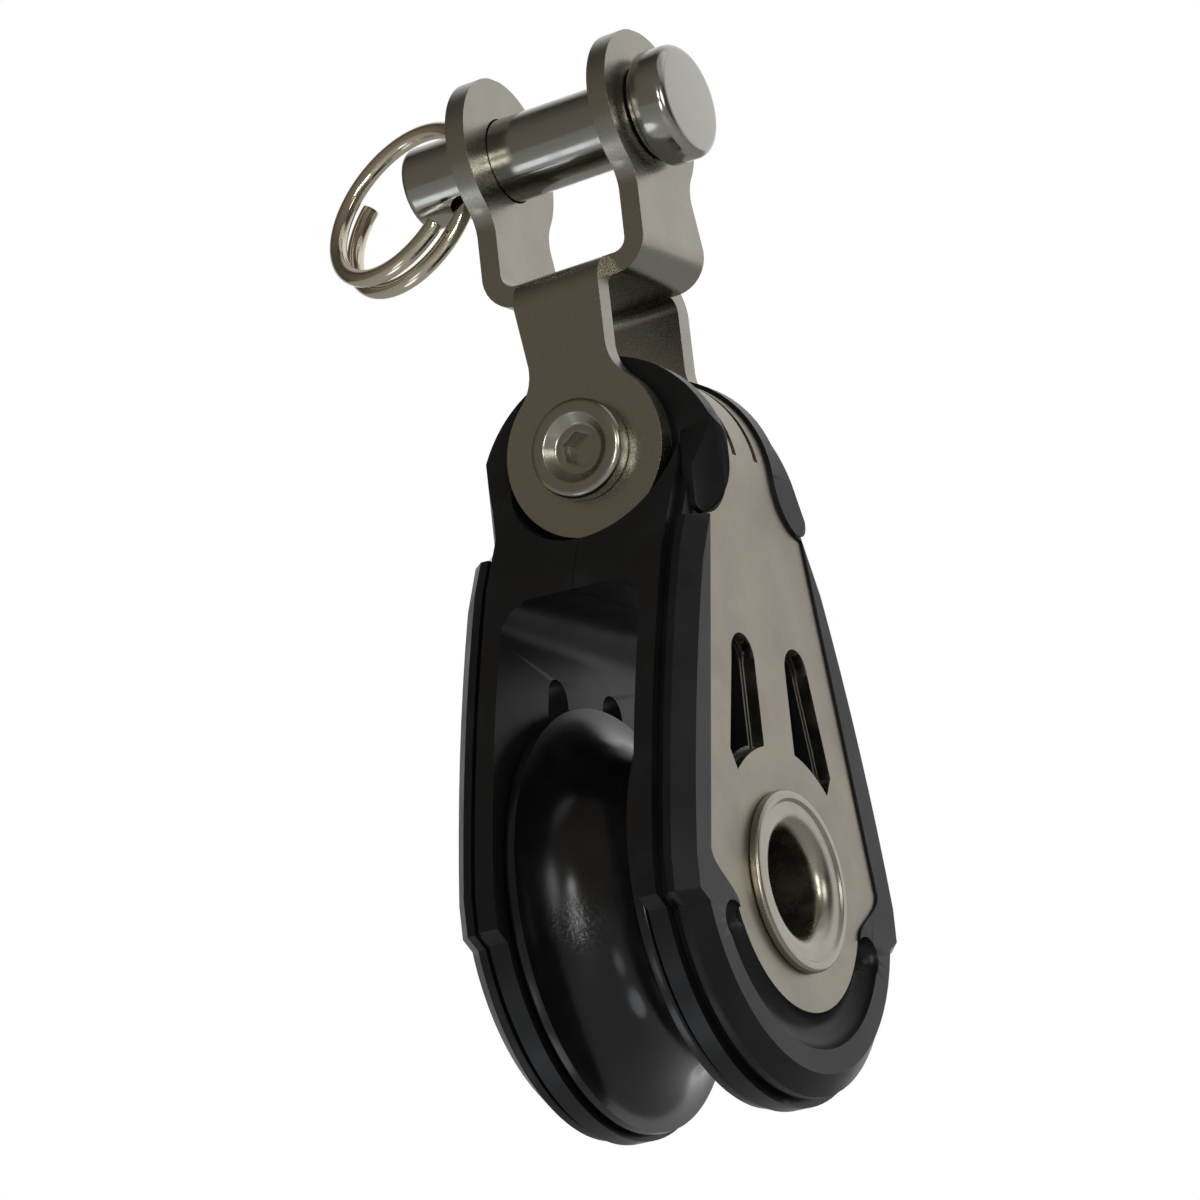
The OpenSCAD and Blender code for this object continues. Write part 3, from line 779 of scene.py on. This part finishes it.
class BLOCK_OT_pivot(bpy.types.Operator):
    """Turns the pivot's headed barrel and the screw that closes it"""

    bl_idname = "block.pivot"
    bl_label = "Pivot"

    edge = 0.1 * MM
    screw_hole = 1.65 * MM
    screw_hole_low = -12 * MM
    screw_hole_high = 4.5 * MM
    screw_length = 10.9 * MM
    shank_gap = 0.05 * MM
    shank_end = 0.2 * MM
    head_rim = 0.5 * MM
    dish_mouth = 0.7
    dish_lip = 0.3 * MM
    dish_floor = 0.5
    dish_wall = 0.65 * MM
    dish_foot = 0.35 * MM
    dish_depth = 0.7 * MM
    socket_radius = 1.3 * MM
    socket_depth = 1.55 * MM

    def execute(self, context):
        size = context.scene.block_pins
        toggle = context.scene.block_toggle
        ear_face = toggle.ear_inside + toggle.sheet + SEAT_GAP
        barrel = turned(
            "pivot_barrel_turned", self.profile(size, ear_face, size.barrel_radius, 2 * ear_face)
        )
        hole = straight_cutter(
            "screw hole", self.screw_hole, self.screw_hole_low, self.screw_hole_high, segments=48
        )
        combine(barrel, "DIFFERENCE", [move(hole, OFF_EDGES), self.socket(size, ear_face)])
        screw = turned(
            "pivot_screw_turned", self.profile(size, ear_face, size.screw_radius, self.screw_length)
        )
        combine(screw, "DIFFERENCE", [self.socket(size, ear_face)])
        for piece, turn, node in ((barrel, TO_FRONT, "pivot_barrel"), (screw, TO_REAR, "pivot_screw")):
            cut_into_triangles(piece)
            soften(piece, self.edge, angle=50, segments=2)
            move(piece, AT_PIVOT @ turn)
            finish_piece(piece, material("turned stainless pivot"), "toggle", node)
        return {"FINISHED"}

    def profile(self, size, ear_face, shank, shank_length):
        """Shank and raised head with a rounded rim and a dish, from the shank's end to the dish.

        The mouth and the floor of the dish are shares of the head's radius.
        """
        end = ear_face - shank_length + self.shank_gap
        top = ear_face + size.pivot_rise
        return rounded(
            [
                (NEAR_AXIS, end, 0),
                (shank, end, self.shank_end),
                (shank, ear_face, 0),
                (size.pivot_head, ear_face, TURNED_EDGE),
                (size.pivot_head, top, self.head_rim),
                (self.dish_mouth * size.pivot_head, top, self.dish_lip),
                (self.dish_floor * size.pivot_head, top - self.dish_wall, self.dish_foot),
                (NEAR_AXIS, top - self.dish_depth, 0),
            ]
        )

    def socket(self, size, ear_face):
        """Six-sided cutter for the driver socket in a head."""
        top = ear_face + size.pivot_rise
        cutter = straight_cutter(
            "socket", self.socket_radius, top - self.socket_depth, top + MM, segments=6
        )
        return move(cutter, OFF_EDGES)


class BLOCK_OT_cheeks(bpy.types.Operator):
    """Rounds the edges of the two moulded cheeks"""

    bl_idname = "block.cheeks"
    bl_label = "Cheeks"

    def execute(self, context):
        size = context.scene.block_parts
        for side in ("left", "right"):
            cheek = copy_of_node(f"cheek_{side}", f"moulded_cheek_{side}")
            join_flat_faces(cheek)
            cut_into_triangles(cheek)
            soften(cheek, size.moulded_edge, angle=30)
            finish_piece(cheek, material("moulded glass-filled nylon"), "block", f"cheek_{side}")
        return {"FINISHED"}


class BLOCK_OT_strap(bpy.types.Operator):
    """Rounds the sheared edges of the strap, its windows and its pressed grooves"""

    bl_idname = "block.strap"
    bl_label = "Strap"

    edge_facing = 0.5

    def execute(self, context):
        size = context.scene.block_parts
        strap = copy_of_node("strap", "bent_strap")
        join_flat_faces(strap)
        soften(strap, size.sheared_edge, angle=40, segments=2)
        finish_piece(strap, material("belt-brushed stainless strip"), "block", "strap")
        strap.data.materials.append(material("sheared stainless edge"))
        for face in strap.data.polygons:
            face.material_index = int(abs(face.normal.y) > self.edge_facing)
        return {"FINISHED"}


class BLOCK_OT_axle(bpy.types.Operator):
    """Turns the hollow axle with its spun flanges and flared mouths"""

    bl_idname = "block.axle"
    bl_label = "Axle"

    flange_thickness = 0.7 * MM
    flange_rim = 0.3 * MM
    dish_foot = 0.15 * MM
    mouth_land = 0.1 * MM
    flare = 1.2 * MM

    def execute(self, context):
        size = context.scene.block_parts
        flange = size.strap_face + SEAT_GAP
        end = flange + self.flange_thickness
        face = end - size.flange_dish
        lip = size.axle_flange - size.flange_lip
        outside = rounded(
            [
                (size.axle_radius, 0, 0),
                (size.axle_radius, flange, 0),
                (size.axle_flange, flange, TURNED_EDGE),
                (size.axle_flange, end, self.flange_rim),
                (lip, end, TURNED_EDGE),
                (lip - size.flange_dish, face, self.dish_foot),
                (size.axle_bore + self.flare + self.mouth_land, face, 0),
            ]
        )
        mouth = arc((size.axle_bore + self.flare, face - self.flare), self.flare, 90, 180, steps=9)
        half = outside + mouth + [Vector((size.axle_bore, 0))]
        profile = half + mirrored(half[1:-1])
        axle = turned("axle_tube_turned", profile, ring=True, segments=128)
        smooth(axle, angle=40)
        move(axle, AT_AXLE @ ALONG_X)
        finish_piece(axle, material("spun stainless axle"), "block", "axle_tube")
        return {"FINISHED"}


class BLOCK_OT_sheave(bpy.types.Operator):
    """Turns the grooved sheave"""

    bl_idname = "block.sheave"
    bl_label = "Sheave"

    groove_outside = 0.2 * MM
    groove_short = 0.35 * MM
    rim_edge = 0.1 * MM
    rim_rounding = 0.3 * MM
    recess_depth = 0.4 * MM
    recess_start = 2.5 * MM
    recess_foot = 2.9 * MM
    recess_rounding = 0.25 * MM
    cap_radius = 9.15 * MM
    cap_depth = 0.8 * MM
    cap_wall = 0.9 * MM
    cap_wall_foot = 1.3 * MM
    cap_wall_rounding = 0.2 * MM

    def execute(self, context):
        size = context.scene.block_parts
        groove = self.groove(size)
        side = size.sheave_half
        rim = size.sheave_radius
        cap = self.cap_radius
        face = side - self.recess_depth
        cap_floor = side - self.cap_depth
        right = rounded(
            [
                (rim - self.rim_edge, groove[-1].y, 0),
                (rim, side, self.rim_rounding),
                (rim - self.recess_start, side, self.recess_rounding),
                (rim - self.recess_foot, face, self.recess_rounding),
                (cap + self.cap_wall_foot, face, self.recess_rounding),
                (cap + self.cap_wall, side, self.cap_wall_rounding),
                (cap, side, TURNED_EDGE),
                (cap, cap_floor, 0),
                (size.sheave_hole, cap_floor, 0),
            ],
            steps=4,
        )
        profile = groove[1:-1] + right + mirrored(right)
        sheave = turned("grooved_sheave", profile, ring=True, segments=144)
        smooth(sheave, angle=35)
        move(sheave, AT_AXLE @ ALONG_X)
        finish_piece(sheave, material("moulded black acetal"), "sheave", "sheave")
        return {"FINISHED"}

    def groove(self, size):
        """The rope groove's arc. Its centre lies outside the rim, and it stops short of it."""
        centre = size.sheave_radius + self.groove_outside
        half = math.degrees(math.asin(math.sqrt(1 - (self.groove_short / size.groove) ** 2)))
        return arc((centre, 0), size.groove, 180 + half, 180 - half, steps=28)


class BLOCK_OT_hidden_parts(bpy.types.Operator):
    """Dresses the washers, races, balls and bush that stay as the frame has them"""

    bl_idname = "block.hidden_parts"
    bl_label = "Bearing and washers"

    white = ("inner_race", "bearing_balls_left", "bearing_balls_right", "pivot_bush",
             "thrust_washer_left", "thrust_washer_right")
    black = ("race_cap_left", "race_cap_right", "wear_washer_front", "wear_washer_rear")

    def execute(self, context):
        for name in self.white:
            dress_node(name, material("moulded white acetal"))
        for name in self.black:
            dress_node(name, material("moulded black acetal"))
        return {"FINISHED"}


class BLOCK_OT_stage(bpy.types.Operator):
    """Sets the camera, the pale floor, the soft lights and the world"""

    bl_idname = "block.stage"
    bl_label = "Stage"

    azimuth = 27.75
    elevation = -13.5
    roll = -6.23
    distance = 847 * MM
    aim_right = -5.38 * MM
    aim_up = 21.17 * MM
    lens = 369.7
    sensor = 36
    nearest = 0.01
    furthest = 20
    floor_size = 8
    floor_height = -0.42
    floor_roughness = 0.8
    floor_lift = 0.5

    def execute(self, context):
        context.scene.view_settings.view_transform = "Standard"
        towards, right, up = self.directions()
        self.add_camera(towards, right, up)
        self.add_floor()
        self.add_lights()
        self.add_world()
        return {"FINISHED"}

    def directions(self):
        """Unit vectors from the block to the camera, to its right and up."""
        a, e, r = (math.radians(v) for v in (self.azimuth, self.elevation, self.roll))
        towards = Vector((math.sin(a) * math.cos(e), -math.cos(a) * math.cos(e), math.sin(e)))
        level = Vector((math.cos(a), math.sin(a), 0))
        upright = towards.cross(level)
        right = level * math.cos(r) + upright * math.sin(r)
        return towards, right, towards.cross(right)

    def add_camera(self, towards, right, up):
        """The photograph's camera: a long lens from below and to the right."""
        data = bpy.data.cameras.new("camera")
        data.lens = self.lens
        data.sensor_width = self.sensor
        data.clip_start = self.nearest
        data.clip_end = self.furthest
        camera = bpy.data.objects.new("camera", data)
        camera.matrix_world = Matrix((right, up, towards)).transposed().to_4x4()
        camera.location = AXLE + towards * self.distance + right * self.aim_right + up * self.aim_up
        bpy.context.scene.collection.objects.link(camera)
        bpy.context.scene.camera = camera

    def add_floor(self):
        """A pale paper floor, a little brighter to the camera, which keeps the shadow."""
        begin()
        bpy.ops.mesh.primitive_plane_add(size=self.floor_size, location=(0, 0, self.floor_height))
        floor = bpy.context.object
        floor.name = "floor"
        colour = bpy.context.scene.block_finishes.paper
        paper, tree, shader = new_material("white paper", colour, 0.0, self.floor_roughness)[:3]
        seen = add(tree, "ShaderNodeLightPath").outputs["Is Camera Ray"]
        lift = add(
            tree, "ShaderNodeMath", {1: self.floor_lift}, {0: seen}, operation="MULTIPLY"
        ).outputs[0]
        shader.inputs["Emission Color"].default_value = (1, 1, 1, 1)
        tree.links.new(lift, shader.inputs["Emission Strength"])
        floor.data.materials.append(paper)

    def add_lights(self):
        """Round soft lamps: a name, the way to it, its distance, size, power and colour."""
        cool = (0.82, 0.91, 1.0)
        plain = (1.0, 1.0, 1.0)
        lamps = (
            ("near camera", Vector((0.45, -0.87, -0.1)), 0.85, 0.2, 1.2, plain),
            ("above camera", Vector((0.45, -0.86, 0.23)), 0.85, 0.16, 0.8, plain),
            ("low left", Vector((-0.45, -0.65, -0.61)), 0.5, 0.14, 0.075, cool),
            ("below", Vector((-0.45, -0.2, -0.87)), 0.34, 0.13, 0.075, cool),
            ("side", Vector((0.85, -0.45, 0.22)), 0.8, 0.3, 0.8, plain),
            ("top", Vector((0.55, 0.15, 0.82)), 1.1, 1.0, 1.2, plain),
        )
        for name, way, distance, size, power, colour in lamps:
            data = bpy.data.lights.new(name, "AREA")
            data.shape = "DISK"
            data.size = size
            data.energy = power
            data.color = colour
            lamp = bpy.data.objects.new(name, data)
            lamp.location = AXLE + way.normalized() * distance
            lamp.rotation_euler = way.to_track_quat("Z", "Y").to_euler()
            bpy.context.scene.collection.objects.link(lamp)

    def add_world(self):
        """White to the camera. Reflections see a white sweep behind the block and a dim warm room
        round the rest, and everything is lit by soft plain light.
        """
        world = bpy.data.worlds.new("white sweep and dim room")
        world.use_nodes = True
        tree = world.node_tree
        tree.nodes.clear()
        white = (1, 1, 1, 1)
        shown = self.room_colours(tree, white)
        path = add(tree, "ShaderNodeLightPath").outputs
        in_mirror = add(
            tree,
            "ShaderNodeMath",
            {},
            {0: path["Is Glossy Ray"], 1: path["Is Transmission Ray"]},
            operation="MAXIMUM",
        ).outputs[0]
        plain = add(tree, "ShaderNodeBackground", {"Color": white, "Strength": 0.75})
        room = add(tree, "ShaderNodeBackground", {"Strength": 1.0}, {"Color": shown})
        backdrop = add(tree, "ShaderNodeBackground", {"Color": white, "Strength": 1.0})
        lit = add(tree, "ShaderNodeMixShader", {}, {0: in_mirror, 1: plain.outputs[0], 2: room.outputs[0]})
        whole = add(
            tree,
            "ShaderNodeMixShader",
            {},
            {0: path["Is Camera Ray"], 1: lit.outputs[0], 2: backdrop.outputs[0]},
        )
        add(tree, "ShaderNodeOutputWorld", links={"Surface": whole.outputs[0]})
        bpy.context.scene.world = world

    def room_colours(self, tree, white):
        """The room's colours by how far a direction faces the sweep, from away to towards."""
        sweep = Vector((0, 0.97, 0.24))
        way = add(tree, "ShaderNodeTexCoord").outputs["Generated"]
        facing = add(
            tree, "ShaderNodeVectorMath", {1: sweep}, {0: way}, operation="DOT_PRODUCT"
        ).outputs["Value"]
        place = spread(tree, facing, -1.0, 1.0, 0.0, 1.0)
        ramp = add(tree, "ShaderNodeValToRGB", links={"Fac": place})
        stops = ramp.color_ramp.elements
        stops[0].position = 0.0
        stops[0].color = (0.24, 0.215, 0.18, 1)
        stops[1].position = 0.9
        stops[1].color = white
        for where, colour in ((0.3, (0.2, 0.175, 0.14, 1)), (0.68, (0.05, 0.045, 0.04, 1))):
            stops.new(where).color = colour
        return ramp.outputs["Color"]


class BLOCK_PT_parts(bpy.types.Panel):
    """Lists the block's operators and sizes"""

    bl_idname = "BLOCK_PT_parts"
    bl_label = "Sailing block"
    bl_space_type = "VIEW_3D"
    bl_region_type = "UI"
    bl_category = "Block"

    def draw(self, context):
        for operator in OPERATORS:
            self.layout.operator(operator.bl_idname)
        for group in PROPERTIES:
            box = self.layout.box()
            values = getattr(context.scene, group)
            for name in values.__annotations__:
                box.prop(values, name)


OPERATORS = (
    BLOCK_OT_toggle,
    BLOCK_OT_clevis_pin,
    BLOCK_OT_split_ring,
    BLOCK_OT_pivot,
    BLOCK_OT_cheeks,
    BLOCK_OT_strap,
    BLOCK_OT_axle,
    BLOCK_OT_sheave,
    BLOCK_OT_hidden_parts,
    BLOCK_OT_stage,
)
PROPERTIES = {
    "block_toggle": ToggleSizes,
    "block_pins": PinSizes,
    "block_parts": BlockSizes,
    "block_finishes": Finishes,
}


def register():
    """Registers the classes and gives every scene the sizes and the colours."""
    for group in PROPERTIES.values():
        bpy.utils.register_class(group)
    for operator in OPERATORS:
        bpy.utils.register_class(operator)
    bpy.utils.register_class(BLOCK_PT_parts)
    for name, group in PROPERTIES.items():
        setattr(bpy.types.Scene, name, bpy.props.PointerProperty(type=group))


def unregister():
    """Takes the sizes, the colours and the classes away again."""
    for name in PROPERTIES:
        delattr(bpy.types.Scene, name)
    bpy.utils.unregister_class(BLOCK_PT_parts)
    for operator in reversed(OPERATORS):
        bpy.utils.unregister_class(operator)
    for group in reversed(list(PROPERTIES.values())):
        bpy.utils.unregister_class(group)


def main():
    register()
    for operator in OPERATORS:
        group, action = operator.bl_idname.split(".")
        getattr(getattr(bpy.ops, group), action)()


if __name__ == "__main__":
    main()
